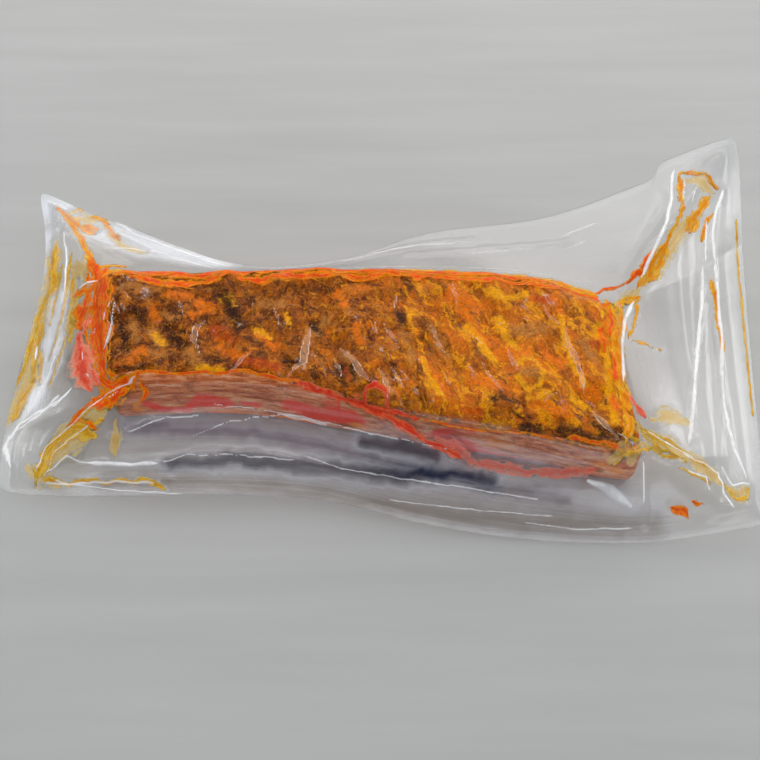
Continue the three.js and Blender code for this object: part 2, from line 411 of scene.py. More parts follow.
ORANGE_GLAZE = [
    (4, (-109, -1), (-107, -7)), (5, (-101, 5), (-92, 4)), (5, (-88, 2), (-82, -2)),
    (5, (-91, -6), (-85, -4)), (6, (-57, -17), (-50, -24)), (7, (-76, -22), (-66, -30)),
    (4, (-15, -15), (-12, -24)), (4, (-23, 7), (-20, -2)), (5, (16, -33), (21, -43), (25, -50)),
    (5, (36, -9), (42, -19), (51, -29)), (8, (53, -26), (61, -28)), (5, (31, 7), (33, -5)),
    (4, (78, 0), (81, -10)), (6, (48, -20), (58, -26)), (6, (-112, -28), (-118, -34)),
    (6, (102, -4), (103, -24)), (6, (70, -24), (78, -34)), (7, (40, -44), (54, -48)),
    (6, (28, 2), (44, -2)), (6, (84, -44), (92, -52)), (5, (66, -54), (78, -62)),
]
YELLOW_GLAZE = [
    (3, (16, -32), (20, -46), (24, -51)), (3.5, (37, -13), (43, -25), (49, -32)),
    (3.5, (51, -11), (54, -18), (58, -25)), (3, (80, -8), (81, -21), (83, -36), (87, -46)),
    (2.2, (58, -34), (62, -31), (67, -32), (69, -40), (68, -47), (62, -47), (58, -42)),
    (4, (48, 5), (56, 1), (64, 4)), (2.5, (-85, -37), (-80, -36), (-75, -37)), (3.5, (50, -9), (54, -14)),
    (4, (82, -54), (88, -58)), (4, (97, -12), (99, -32), (99, -52), (100, -66)),
    (2.5, (-78, 2), (-74, 4), (-71, -1)), (3, (-107, -16), (-103, -22)), (3, (-60, -14), (-54, -18)),
    (2.5, (10, -8), (12, -14)), (3, (70, -52), (62, -52)), (2.5, (-48, -6), (-45, -12)),
]
RED_SPOTS = [
    (5, (68, 3), (74, 1)), (4, (94, -22), (95, -26)), (4, (99, -53), (100, -56)),
    (6, (-66, -34), (-50, -36)), (4, (-20, -38), (-16, -42)), (4, (-126, -34), (-120, -36)),
    (6, (-80, -14), (-72, -20)), (4, (32, -56), (40, -60)),
]
# The same on the slab's front side, as x and height
SIDE_RED = [
    (5, (-110, 13), (-104, 7), (-95, 6), (-86, 16), (-84, 24)), (8, (-86, 14), (-76, 12)),
    (4, (-66, 14), (-60, 13)), (9, (-44, 16), (-30, 12), (-14, 16)), (4, (-26, 30), (-16, 30), (-6, 27)),
    (4, (-6, 27), (3, 19), (13, 9), (24, 2)), (9, (24, 15), (33, 10), (43, 2)),
    (3, (-82, 2), (-60, 2), (-36, 3)), (4, (43, 2), (70, 0), (96, 0)), (5, (60, 24), (70, 22)),
]
SIDE_ORANGE = [
    (3, (-82, 4), (-60, 3), (-36, 4)), (4, (-115, 18), (-116, 8)), (3, (-16, 9), (-8, 7)),
    (2.5, (-6, 25), (4, 17), (14, 7), (26, 0)), (5, (46, 14), (56, 12)), (5, (96, 14), (104, 11)),
]


def distance_to(stroke, x, y):
    """How far each place lies from a line through the stroke's points."""
    nearest = np.full(np.shape(x), np.inf)
    for (ax, ay), (bx, by) in zip(stroke, stroke[1:] or stroke):
        reach = (bx - ax) ** 2 + (by - ay) ** 2 or 1
        share = np.clip(((x - ax) * (bx - ax) + (y - ay) * (by - ay)) / reach, 0, 1)
        nearest = np.minimum(nearest, np.hypot(x - mix(ax, bx, share), y - mix(ay, by, share)))
    return nearest


def wavy(x, y, waviness):
    """Places pushed about by smooth noise of two sizes, so that what is drawn on them is wavy."""
    u, v, fine_u, fine_v = x / WAVE_SIZE, y / WAVE_SIZE, x / WAVELET_SIZE, y / WAVELET_SIZE
    push_x = noise(u + 40, v) + WAVELET_RISE * noise(fine_u + 9, fine_v)
    push_y = noise(u, v + 40) + WAVELET_RISE * noise(fine_u, fine_v + 9)
    return x + waviness * push_x, y + waviness * push_y


def smeared(strokes, x, y, waviness=1.0):
    """1 along each (width, points) stroke, 0 one width away and less beyond, with a wavy edge."""
    x, y = wavy(x, y, waviness)
    most = np.full(np.shape(x), OUTSIDE)
    for width, *stroke in strokes:
        most = np.maximum(most, 1 - distance_to(stroke, x, y) / width)
    return most


def add_piece(name, x, y, sheets, paints, keep=None):
    """A closed piece between a lower and an upper sheet, over the kept places of a grid.

    paints holds each vertex attribute as its values on the lower and on the upper sheet.
    """
    keep = np.ones(x.shape, bool) if keep is None else keep
    rows, columns = np.flatnonzero(keep.any(1)), np.flatnonzero(keep.any(0))
    part = np.s_[rows[0]:rows[-1] + 1, columns[0]:columns[-1] + 1]
    across, along = x[part].shape
    places = [np.stack([x, y, z], -1)[part].reshape(-1, 3) / 1000 for z in sheets]
    kept = keep[part].ravel()
    mesh = bmesh.new()
    spot = mesh.verts.layers.int.new("spot")
    for key in paints:
        mesh.verts.layers.float.new(key)
    bmesh.ops.create_grid(mesh, x_segments=along - 1, y_segments=across - 1, size=1)
    for v in mesh.verts:
        i = round((v.co.x + 1) / 2 * (along - 1))
        j = round((v.co.y + 1) / 2 * (across - 1))
        v[spot] = j * along + i
    bare = [v for v in mesh.verts if not kept[v[spot]]]
    bmesh.ops.delete(mesh, geom=bare, context="VERTS")
    loose = [v for v in mesh.verts if not v.link_faces]
    bmesh.ops.delete(mesh, geom=loose, context="VERTS")
    made = bmesh.ops.extrude_face_region(mesh, geom=mesh.faces[:])["geom"]
    raised = {v for v in made if isinstance(v, bmesh.types.BMVert)}
    layers = [(mesh.verts.layers.float[key], [values[part].ravel() for values in pair])
              for key, pair in paints.items()]
    for v in mesh.verts:
        sheet = int(v in raised)
        v.co = places[sheet][v[spot]]
        for layer, values in layers:
            v[layer] = values[sheet][v[spot]]
    mesh.verts.layers.int.remove(spot)
    bmesh.ops.recalc_face_normals(mesh, faces=mesh.faces)
    data = bpy.data.meshes.new(name)
    mesh.to_mesh(data)
    mesh.free()
    data.shade_smooth()
    piece = bpy.data.objects.new(name, data)
    bpy.context.collection.objects.link(piece)
    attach(piece, "root")
    return piece


column, line, *_ = pouch_grid(0, MEAT_COLUMNS, MEAT_ROWS, 1)
column = column[0], mix(MEAT_INSET, 1 - MEAT_INSET, column[1])
line = line[0], mix(MEAT_INSET, 1 - MEAT_INSET, line[1])
x, y, meeting = meeting_points(column, line)
upper, lower = sheet_heights(column, line, x, y, meeting)
x, y = x + SHIFT_X, y + SHIFT_Y
upper, lower = upper - MEAT_GAP, lower + MEAT_GAP
# The front side, from the slab's top edge down
EDGE_X = (-118, -90, -66, -39, -21, -3, 18, 40, 62, 84, 104)
EDGE_Y = (-37, -38, -38, -43, -48, -54, -60, -65, -67, -71, -76)
side = step_between(-EDGE_SOFTNESS, EDGE_SOFTNESS, np.interp(x, EDGE_X, EDGE_Y) - y)
front = np.where(line[1] < 0.5, 1.0, 0.0)
dark_pitted = smeared(DARK_SPOTS, x, y)
hollows = np.maximum(noise(x / HOLLOW_SIZE[0] + 3, y / HOLLOW_SIZE[1]), 0)
grit = (noise(x / GRIT_SIZE[0], y / GRIT_SIZE[1]) + 1) / 2
torn_off = PIT_DEPTH * np.clip(dark_pitted, 0, 1) + HOLLOW_DEPTH * hollows + GRIT_DEPTH * grit
top_share = step_between(*TORN_FROM, way_in(column, line, END_ROUNDING, SIDE_ROUNDING))
bare = np.zeros(x.shape)
ribs = add_piece("ribs", x, y, (lower, upper - torn_off * top_share), {
    "dark_pitted": (bare, dark_pitted),
    "tan": (bare, smeared(TAN_LUMPS, x, y)),
    "orange": (smeared(SIDE_ORANGE, x, lower) * front,
               np.where(side > 0.5, smeared(SIDE_ORANGE, x, upper), smeared(ORANGE_GLAZE, x, y))),
    "yellow": (bare, smeared(YELLOW_GLAZE, x, y)),
    "red": (smeared(SIDE_RED, x, lower) * front,
            np.where(side > 0.5, smeared(SIDE_RED, x, upper), smeared(RED_SPOTS, x, y))),
    "side": (np.ones(x.shape), side),
})


def shade(red, green, blue):
    """The light that a surface of this screen colour, 0 to 255, sends back."""
    return (*[((c / 255 + 0.055) / 1.055) ** 2.4 for c in (red, green, blue)], 1)


def reckoned(tree, operation, first, *others):
    """The result of one operation on numbers, taken in turn."""
    for other in others:
        first = add_node(tree, "ShaderNodeMath", {0: first, 1: other}, operation=operation).outputs[0]
    return first


def times(tree, *numbers):
    return reckoned(tree, "MULTIPLY", *numbers)


def plus(tree, *numbers):
    return reckoned(tree, "ADD", *numbers)


def minus(tree, *numbers):
    return reckoned(tree, "SUBTRACT", *numbers)


def apart(tree, first, second):
    """How far apart two numbers are."""
    return reckoned(tree, "ABSOLUTE", minus(tree, first, second), 0.0)


def ranged(tree, value, low, high, to_low=0.0, to_high=1.0, kind="LINEAR"):
    """A value's way from low to high, from 0 to 1 or from to_low to to_high."""
    return add_node(tree, "ShaderNodeMapRange", {
        "Value": value, "From Min": low, "From Max": high, "To Min": to_low, "To Max": to_high,
    }, interpolation_type=kind).outputs["Result"]


# Masks with ragged edges, which the roast, the painted highlights along folds and the film use
ragged = bpy.data.node_groups.new("ragged", "ShaderNodeTree")
ragged.interface.new_socket("Vector", in_out="INPUT", socket_type="NodeSocketVector")
for socket in ("Amount", "Grain", "Raggedness", "Low", "High"):
    ragged.interface.new_socket(socket, in_out="INPUT", socket_type="NodeSocketFloat")
ragged.interface.new_socket("Mask", in_out="OUTPUT", socket_type="NodeSocketFloat")
given = add_node(ragged, "NodeGroupInput").outputs
patchy = cloudy(ragged, given["Vector"], given["Grain"], RAGGED_DETAIL, 0.7)["Fac"]
swing = times(ragged, minus(ragged, patchy, 0.5), given["Raggedness"])
amount = plus(ragged, swing, given["Amount"])
inside = ranged(ragged, amount, given["Low"], given["High"], kind="SMOOTHSTEP")
add_node(ragged, "NodeGroupOutput", {"Mask": inside})


def painted(tree, name):
    """The value of one of the piece's own painted attributes."""
    return add_node(tree, "ShaderNodeAttribute", attribute_name=name).outputs["Fac"]


def mask(tree, vector, grain, low, high, amount=0.5, raggedness=1.0):
    """A mask that is 1 where amount plus cloudy noise is over high and 0 where it is under low.

    grain is in patches for each unit of the vector.
    """
    return add_node(tree, "ShaderNodeGroup", {
        "Vector": vector, "Amount": amount, "Grain": grain, "Raggedness": raggedness,
        "Low": low, "High": high}, node_tree=ragged).outputs["Mask"]


def hairlines(tree, vector, grain, width):
    """Thin lines, width of them wide, along the borders of patches of that grain."""
    off = apart(tree, cloudy(tree, vector, grain, 3, 0.55)["Fac"], 0.5)
    return ranged(tree, off, width, 0.0, kind="SMOOTHSTEP")


def toned(tree, value, stops):
    """The colour for a value, by (position, screen colour) stops."""
    tones = add_node(tree, "ShaderNodeValToRGB", {"Fac": value})
    ramp = tones.color_ramp.elements
    for end in (0, -1):
        position, colour = stops[end]
        ramp[end].position, ramp[end].color = position, shade(*colour)
    for position, colour in stops[1:-1]:
        ramp.new(position).color = shade(*colour)
    return tones.outputs["Color"]


def layered(tree, tint, patches):
    """A colour with (mask, screen colour, strength) patches laid over it in turn."""
    for cover, colour, strength in patches:
        tint = blended(tree, times(tree, cover, strength), tint, shade(*colour))
    return tint


def bumped(tree, height, depth):
    """The surface's direction with a relief up to depth metres deep."""
    return add_node(tree, "ShaderNodeBump", {
        "Height": height, "Strength": BUMP_STRENGTH, "Distance": depth}).outputs[0]


roast, tree, shader = new_material("roast")
plain = own_places(tree)
warp = cloudy(tree, plain, 160, 4, 0.6)["Color"]
centred = add_node(tree, "ShaderNodeVectorMath", {0: warp, 1: (0.5, 0.5, 0.5)}, operation="SUBTRACT")
push = add_node(tree, "ShaderNodeVectorMath", {0: centred.outputs[0], "Scale": TEAR}, operation="SCALE")
torn = add_node(tree, "ShaderNodeVectorMath", {0: plain, 1: push.outputs[0]}).outputs[0]
fibres = stretched(tree, torn, FIBRE_STRETCH, FIBRE_TURN)
here = add_node(tree, "ShaderNodeSeparateXYZ", {0: plain}).outputs
right_part = ranged(tree, here["X"], *FIBRES_FROM)
lie = add_node(tree, "ShaderNodeMix", {0: right_part, 4: torn, 5: fibres}, data_type="VECTOR").outputs[1]

coarse = cloudy(tree, lie, 170, 6, 0.74)["Fac"]
browns = toned(tree, coarse, [
    (0.3, (60, 24, 0)), (0.42, (116, 54, 0)), (0.5, (156, 78, 0)), (0.58, (186, 100, 2)),
    (0.7, (226, 146, 20)),
])
brighter = plus(tree, times(tree, right_part, 0.13), 0.41)
top_tint = layered(tree, browns, [
    (mask(tree, lie, 150, 0.48, 0.6, brighter), (222, 112, 0), 0.8),
    (mask(tree, torn, 210, 0.5, 0.64, 0.48), (178, 106, 26), 0.6),
    (mask(tree, torn, 190, 0.5, 0.6, minus(tree, 0.96, brighter)), (78, 34, 0), 0.8),
    (mask(tree, lie, 280, 0.54, 0.62, brighter), (244, 158, 0), 0.85),
    (mask(tree, torn, 420, 0.57, 0.65), (206, 134, 44), 0.6),
    (mask(tree, torn, 330, 0.2, 1.0, painted(tree, "tan"), 2.6), (194, 124, 54), 0.85),
    (mask(tree, lie, 330, 0.25, 0.9, painted(tree, "red"), 2.6), (196, 66, 0), 0.75),
    (mask(tree, lie, 330, 0.2, 0.9, painted(tree, "orange"), 2.8), (234, 116, 0), 0.85),
    (mask(tree, lie, 480, 0.2, 0.8, painted(tree, "yellow"), 2.8), (250, 170, 0), 0.9),
    (mask(tree, torn, 360, 0.2, 1.0, painted(tree, "dark_pitted"), 2.6), (50, 22, 2), 0.9),
    (hairlines(tree, torn, 150, 0.012), (240, 150, 0), 0.55),
    (hairlines(tree, lie, 260, 0.01), (52, 20, 0), 0.5),
])
grains = cloudy(tree, torn, 800, 3, 0.7)["Fac"]
flecks = ranged(tree, grains, 0.3, 0.7, 0.64, 1.4)
flecked = add_node(tree, "ShaderNodeVectorMath", {0: top_tint, 1: flecks}, operation="MULTIPLY")

grained = cloudy(tree, stretched(tree, plain, SIDE_STRETCH), 260, 5, 0.7)["Fac"]
pinks = toned(tree, grained, [(0.36, (168, 84, 46)), (0.5, (232, 130, 76)), (0.66, (250, 196, 148))])
side_tint = layered(tree, pinks, [
    (mask(tree, plain, 130, 0.52, 0.66), (170, 84, 36), 0.7),
    (mask(tree, plain, 150, 0.1, 0.7, painted(tree, "red"), 1.2), (255, 66, 44), 0.95),
    (mask(tree, plain, 260, 0.15, 0.9, painted(tree, "orange"), 1.4), (255, 150, 40), 0.9),
])
on_side = mask(tree, plain, 300, 0.35, 0.65, painted(tree, "side"), 0.5)
tree.links.new(blended(tree, on_side, flecked.outputs[0], side_tint), shader.inputs["Base Color"])
tree.links.new(ranged(tree, coarse, 0.3, 0.7, 0.14, 0.36), shader.inputs["Roughness"])
shader.inputs["Specular IOR Level"].default_value = MEAT_SHINE
relief = plus(tree, grains, times(tree, coarse, 2.0))
tree.links.new(bumped(tree, relief, 0.001), shader.inputs["Normal"])
ribs.data.materials.append(roast)

# ---- The film's folds ----
# The clear film ripples where it is free, and is pinched into small wrinkles where it bridges
# hollows in the meat. The sauce inside follows it, so its form comes first.

RIPPLE_RISE = 0.3
FLANGE_MIDDLE = 50
END_RIPPLE = (5, 40)
SIDE_RIPPLE = (55, 4.5)
CREASE_RISE = 0.8
FOLD_HEIGHT = 1.5
FOLD_FADES = 0.8

# Wrinkles pinched in the film over the meat, as (width, width of the painted highlight, points)
PINCHES = [
    (1.4, 2.4, (-44, -41), (-38, -35), (-36, -23), (-35, -12)), (1.2, 1.8, (-25, -28), (-21, -42)),
    (1.3, 1.8, (-22, -25), (-15, -36), (-8, -46)), (1.3, 1.8, (-4, -39), (0, -47), (1, -53)),
    (1.1, 1.2, (20, -10), (22, -19), (27, -31)), (1.1, 1.2, (1, -35), (8, -49)),
    (1.1, 1.2, (24, -39), (30, -50)), (1.1, 1.1, (38, -20), (45, -28)),
    (1.2, 1.4, (81, -15), (83, -31), (86, -37)), (1.2, 1.6, (67, -56), (74, -53)),
    (1.5, 1.5, (89, -59), (95, -69), (101, -74)),
]
# All the wrinkles, as (width, points), with those whose painted highlight lies along other lines or which
# have none
CREASES = [(width, *stroke) for width, _, *stroke in PINCHES] + [
    (1.4, (-82, -9), (-88, -15), (-89, -21), (-85, -29)), (1.3, (-70, -38), (-66, -36), (-61, -29)),
    (1.1, (-126, 2), (-131, -12), (-131, -20)), (1.1, (-123, -1), (-126, -22), (-130, -26)),
    (1.1, (-124, -8), (-128, -25)), (1.2, (-97, 3), (-95, -4), (-94, -9)), (1.1, (-7, -10), (-4, -18)),
]
# Lumps of fat that push the film up at the slab's left end
BULGES = [(5, (-143, -7)), (5, (-142, -18)), (5.5, (-137, -29)), (4, (-130, -36)), (4, (-140, 6))]
BULGE_RISE = 2.2
# Longer folds in the free film
FOLDS = [
    (2.4, (-148, -24), (-156, -38), (-164, -48), (-170, -58), (-170, -68)),
    (1.8, (-148, -24), (-154, -40), (-160, -50), (-163, -62), (-158, -74)),
    (2.0, (-130, -64), (-118, -59), (-107, -56), (-89, -52), (-66, -52), (-39, -55), (-24, -64)),
    (2.0, (-143, -71), (-116, -73), (-100, -72), (-86, -68), (-62, -68), (-29, -74)),
    (1.6, (-152, -76), (-126, -79), (-98, -79)),
    (2.4, (-23, 47), (7, 51), (41, 52)),
    (2.2, (10, 42), (38, 43), (66, 45), (90, 47)),
    (1.8, (113, -81), (114, -92), (114, -99)),
    (1.8, (111, -77), (120, -80), (134, -81), (148, -83), (156, -86)),
    (1.8, (116, -71), (124, -72), (131, -73), (138, -79)),
    (1.6, (146, 88), (141, 80), (141, 68), (136, 50), (130, 36), (121, 24), (113, 14)),
    (1.7, (158, 70), (155, 37), (149, -3), (141, -43), (137, -63)),
    (1.6, (168, 75), (162, 47), (159, 14), (156, -29), (151, -60), (149, -84)),
    (1.4, (117, 15), (112, 9), (109, -9), (106, -20), (105, -38), (104, -47), (110, -52), (117, -60)),
    (3.0, (66, -84), (88, -88), (108, -91)),
    (2.2, (-134, 58), (-115, 48), (-93, 43)),
    (2.2, (-148, 54), (-136, 44), (-126, 36)),
    (2.6, (-162, 60), (-158, 25), (-156, -5), (-158, -20)),
    (1.6, (-167, 68), (-165, 30), (-163, 0), (-166, -24)),
]


def film_heights(column, line, x, y, meeting):
    """The lower and upper sheet with the film's own ripples, folds and creases."""
    upper, lower = sheet_heights(column, line, x, y, meeting)
    (cb, cs), (lb, ls) = column, line
    along, across = np.where(cb == 0, 0, cs), np.where(lb == 0, 0, ls)
    out = np.maximum(along, across)
    free = 4 * out * (1 - out) * (1 - step_between(RELIEF_ENDS, SEAL_START, out))
    end_ripple = noise(along * FLANGE_MIDDLE / END_RIPPLE[0] + 11 * cb, y / END_RIPPLE[1])
    side_ripple = noise(x / SIDE_RIPPLE[0], across * FLANGE_MIDDLE / SIDE_RIPPLE[1] + 17 * lb)
    ripple = np.where(cb != 0, end_ripple, 0) + np.where(lb != 0, side_ripple, 0)
    x, y = x + SHIFT_X, y + SHIFT_Y
    waved = x + noise(x / WAVE_SIZE, y / WAVE_SIZE), y + noise(x / WAVE_SIZE + 5, y / WAVE_SIZE)
    rise = RIPPLE_RISE * free * ripple
    for width, *stroke in CREASES:
        rise = np.maximum(rise, CREASE_RISE * bell(distance_to(stroke, *waved), width))
    for width, *stroke in BULGES:
        rise = rise + BULGE_RISE * bell(distance_to(stroke, *waved), width)
    for width, *stroke in FOLDS:
        fold = bell(distance_to(stroke, *waved), width)
        rise = rise + FOLD_HEIGHT * fold * (1 - step_between(FOLD_FADES, SEAL_START, out))
    return lower, upper + rise


# ---- Sauce and oil ----
# Barbecue sauce, its oil and lumps of fat, pressed out of the slab when the pouch was sealed. They
# lie between film and meat and in the channels and pockets at the corners, orange where they are
# thick and yellow where they are thin, with a redder ribbon and smear down the slab's front side.

FINE_FLANGE_CELLS = 100
FINE_COLUMNS = 420
FINE_ROWS = 130
SAUCE_GAP = 0.15
SAUCE_ON_MEAT = 0.2
SAUCE_FLOOR = 0.08
LAYER_STEP = 0.002
STROKE_SPACING = 50
THIN_END = 0.25
STRANDS_ALONG = 0.14
STRANDS_ACROSS = 0.85
SWING = 1.6
EDGE_LINE = 0.34
SAUCE_ROUGHNESS = 0.15
SAUCE_SHINE = 0.1
LIGHT_LET_THROUGH = 0.85

column, line, x, y, meeting = pouch_grid(FINE_FLANGE_CELLS, FINE_COLUMNS, FINE_ROWS, EDGE_CROWDING)
lower, upper = film_heights(column, line, x, y, meeting)
x, y = x + SHIFT_X, y + SHIFT_Y
sauce_top = upper - SAUCE_GAP
on_slab = (column[0] == 0) & (line[0] == 0)
room = np.where(on_slab, SAUCE_ON_MEAT, sauce_top - lower - SAUCE_GAP)
wetted = []


def drawn(strokes, x, y, waviness=1.0, taper=1.5):
    """Depth over (width, points) strokes that thin out at their ends, 1 to 0, and the way along and
    across the stroke in millimetres, which starts further on for each stroke."""
    x, y = wavy(x, y, waviness)
    depth, along, across = np.full(x.shape, OUTSIDE), np.zeros(x.shape), np.zeros(x.shape)
    for n, (width, *stroke) in enumerate(strokes):
        length = sum(math.dist(a, b) for a, b in zip(stroke, stroke[1:]))
        start = 0
        for (ax, ay), (bx, by) in zip(stroke, stroke[1:]):
            run = math.dist((ax, ay), (bx, by))
            ux, uy = (bx - ax) / run, (by - ay) / run
            way = np.clip((x - ax) * ux + (y - ay) * uy, 0, run)
            to_end = np.minimum(start + way, length - start - way)
            thinned = mix(THIN_END, 1, np.minimum(to_end / (taper * width), 1))
            side = (x - ax) * uy - (y - ay) * ux
            off = np.hypot(x - ax - way * ux, y - ay - way * uy)
            here = 1 - off / (width * thinned)
            nearer = here > depth
            depth = np.where(nearer, here, depth)
            along = np.where(nearer, STROKE_SPACING * n + start + way, along)
            across = np.where(nearer, off * np.sign(side), across)
            start += run
    return depth, along, across


def lay_sauce(name, material, thickness, strokes, waviness=1.0):
    """A pool of sauce under the upper film, thickest along its strokes, just below those before it."""
    wetted.extend((waviness, stroke) for stroke in strokes)
    depth, along, across = drawn(strokes, x, y, waviness)
    top = sauce_top - LAYER_STEP * len(wetted)
    deep = np.minimum(SAUCE_FLOOR + thickness * np.clip(depth, 0, 1), room)
    piece = add_piece(name, x, y, (top - deep, top), {
        "depth": (depth, depth), "along": (along, along), "across": (across, across)}, depth > 0)
    piece.data.materials.append(material)


def larger(tree, first, second):
    return reckoned(tree, "MAXIMUM", first, second)


def clear(tree, colour=(1, 1, 1, 1)):
    """A clear shader, which stains what is seen through it with the colour."""
    return add_node(tree, "ShaderNodeBsdfTransparent", {"Color": colour}).outputs[0]


def mixed(tree, share, first, second):
    """The shader between two shaders, by share."""
    return add_node(tree, "ShaderNodeMixShader", {0: share, 1: first, 2: second}).outputs[0]


def lay_on(tree, layer):
    """Make a shader the material's surface, and let most of the lamps' light straight through it."""
    to_lamp = add_node(tree, "ShaderNodeLightPath").outputs["Is Shadow Ray"]
    whole = mixed(tree, times(tree, to_lamp, LIGHT_LET_THROUGH), layer, clear(tree))
    tree.links.new(whole, tree.nodes["Material Output"].inputs["Surface"])


def sauce_finish(name, edge, thin, middle, thick, solidness, ring, stain, streaks=1.7):
    """A wet finish: solid where the sauce is thick, clear and stained at the pool's edge."""
    material, tree, shader = new_material(name)
    depth = painted(tree, "depth")
    lengthways = add_node(tree, "ShaderNodeCombineXYZ", {
        0: times(tree, painted(tree, "along"), STRANDS_ALONG),
        1: times(tree, painted(tree, "across"), STRANDS_ACROSS)}).outputs[0]
    strands = cloudy(tree, lengthways, 1, 4, 0.6, 0.3)["Fac"]
    clouds = cloudy(tree, own_places(tree), 330, 4, 0.7, 0.4)["Fac"]
    swing = minus(tree, plus(tree, times(tree, strands, streaks), clouds), (streaks + 1) / 2)
    body = plus(tree, depth, times(tree, swing, SWING))
    tones = toned(tree, body, [(0.3, thin), (0.62, middle), (1.0, thick)])
    line = times(tree, ranged(tree, apart(tree, body, EDGE_LINE), 0.09, 0.02), ring)
    tree.links.new(blended(tree, line, tones, shade(*edge)), shader.inputs["Base Color"])
    cover = ranged(tree, body, 0.26, 0.62, kind="SMOOTHSTEP")
    at_edge = ranged(tree, depth, 0.0, 0.18)
    share = times(tree, larger(tree, line, times(tree, cover, solidness)), at_edge)
    shader.inputs["Roughness"].default_value = SAUCE_ROUGHNESS
    shader.inputs["Specular IOR Level"].default_value = SAUCE_SHINE
    tree.links.new(bumped(tree, swing, 0.0015), shader.inputs["Normal"])
    stained = blended(tree, times(tree, at_edge, cover), (1, 1, 1, 1), shade(*stain))
    lay_on(tree, mixed(tree, share, clear(tree, stained), shader.outputs[0]))
    return material


# Each with its colours at the edge line and where it is thin, middling and thick, then how solid
# it is, how strong its edge line is, and the colour that it stains what is under it
orange_sauce = sauce_finish(
    "orange_sauce", (230, 116, 0), (255, 186, 0), (252, 132, 0), (240, 78, 0),
    0.96, 0.28, (255, 236, 190))
red_sauce = sauce_finish(
    "red_sauce", (230, 96, 40), (255, 150, 110), (246, 96, 50), (228, 60, 30),
    0.74, 0.1, (255, 226, 206))
red_smear = sauce_finish(
    "red_smear", (240, 150, 130), (255, 196, 176), (255, 150, 128), (250, 110, 90),
    0.32, 0.0, (255, 240, 234))
thin_sauce = sauce_finish(
    "thin_sauce", (226, 150, 0), (255, 214, 70), (255, 186, 0), (244, 140, 0),
    0.8, 0.55, (255, 240, 205))
clear_oil = sauce_finish(
    "clear_oil", (228, 172, 60), (255, 240, 196), (255, 224, 140), (250, 200, 90),
    0.3, 0.35, (255, 248, 228))
golden_oil = sauce_finish(
    "golden_oil", (206, 140, 0), (255, 228, 130), (246, 204, 50), (224, 158, 0),
    0.68, 0.7, (255, 246, 206))
raw_fat = sauce_finish(
    "raw_fat", (255, 150, 90), (255, 196, 166), (255, 136, 104), (240, 78, 50),
    0.95, 0.3, (255, 226, 214), 0.2)

lay_sauce("raw_fat_left_end", raw_fat, 3.0, [
    (9, (-145, -8), (-143, -20), (-140, -32), (-136, -38)), (5, (-141, 0), (-142, -8)),
    (5, (-136, -30), (-131, -38)),
])
lay_sauce("sauce_left_end", orange_sauce, 3.0, [
    (9, (-137, 30), (-137, 14), (-136, -2), (-133, -20), (-128, -36)),
    (7, (-133, 20), (-133, 0), (-131, -26)), (7, (-144, 36), (-140, 26), (-136, 14)),
    (8, (-143, 16), (-145, 6), (-145, -4)), (3, (-152, 16), (-146, 19), (-140, 17)),
    (7, (-134, -32), (-126, -40), (-118, -39)), (6, (-131, -50), (-124, -46), (-114, -39)),
])
lay_sauce("sauce_back_left", thin_sauce, 2.5, [
    (2.2, (-164, 72), (-160, 67), (-153, 56), (-147, 42), (-143, 32)),
    (3.4, (-165, 73), (-159, 69), (-155, 66)), (3.2, (-154, 63), (-147, 61)),
    (1.6, (-142, 66), (-138, 60), (-134, 54)), (4.5, (-140, 27), (-130, 25), (-118, 20)),
    (1.6, (-142, 32), (-134, 33), (-126, 31)), (3.4, (-168, 75), (-163, 72), (-158, 69)),
    (3.6, (-156, 66), (-150, 64), (-145, 63)), (2.4, (-150, 73), (-144, 70), (-140, 66)),
    (1.8, (-158, 78), (-150, 78)),
])
lay_sauce("oil_back_left", clear_oil, 2.0, [
    (4.4, (-162, 76), (-156, 78), (-150, 77)), (6, (-160, 72), (-152, 71), (-146, 72), (-141, 70)),
    (3, (-140, 62), (-132, 50), (-120, 46)), (6, (-156, 38), (-148, 32), (-145, 24)),
])
lay_sauce("sauce_back_edge", orange_sauce, 1.2, [
    (5, (-136, 22), (-120, 19), (-104, 19), (-92, 18)), (3.6, (-96, 18), (-83, 18), (-64, 20)),
    (3.4, (-64, 20), (-27, 20), (-14, 20)), (2.6, (-16, 20), (6, 20), (30, 19)),
    (3.2, (26, 19), (43, 18), (64, 16)), (2.2, (62, 16), (81, 14), (101, 8)),
    (4.2, (-121, 14), (-108, 12), (-96, 12), (-86, 13)), (3.4, (-88, 13), (-80, 14), (-74, 17)),
    (3.4, (-72, 15), (-56, 15), (-40, 15), (-24, 16)), (3, (-24, 16), (-2, 17), (20, 17)),
    (2.6, (20, 16), (46, 13), (66, 11), (82, 9)),
])
lay_sauce("oil_back_edge", thin_sauce, 1.0, [
    (2.4, (-76, 23), (-50, 24), (-20, 24), (10, 24), (50, 22), (80, 18), (101, 10)),
], waviness=0.5)
lay_sauce("sauce_front_left", orange_sauce, 3.0, [
    (5, (-112, -38), (-120, -41), (-128, -46), (-135, -49)), (2.4, (-132, -44), (-138, -49), (-146, -55)),
    (3.2, (-135, -46), (-128, -44), (-121, -41)),
    (2, (-112, -40), (-110, -43), (-111, -46)), (1.8, (-147, -54), (-139, -54), (-131, -57)),
])
lay_sauce("oil_front_left", golden_oil, 2.0, [
    (1.5, (-113, -39), (-126, -43), (-141, -54), (-155, -62), (-158, -77)),
    (1.4, (-128, -54), (-134, -56), (-150, -66), (-154, -76)),
    (3.4, (-157, -66), (-151, -60), (-141, -58)), (5, (-146, -56), (-138, -58), (-131, -60)),
    (2.4, (-159, -80), (-155, -70), (-149, -60)),
    (1.1, (-156, -78), (-138, -79), (-120, -80), (-103, -80)),
    (1.6, (-112, -79), (-104, -81), (-99, -84)),
])
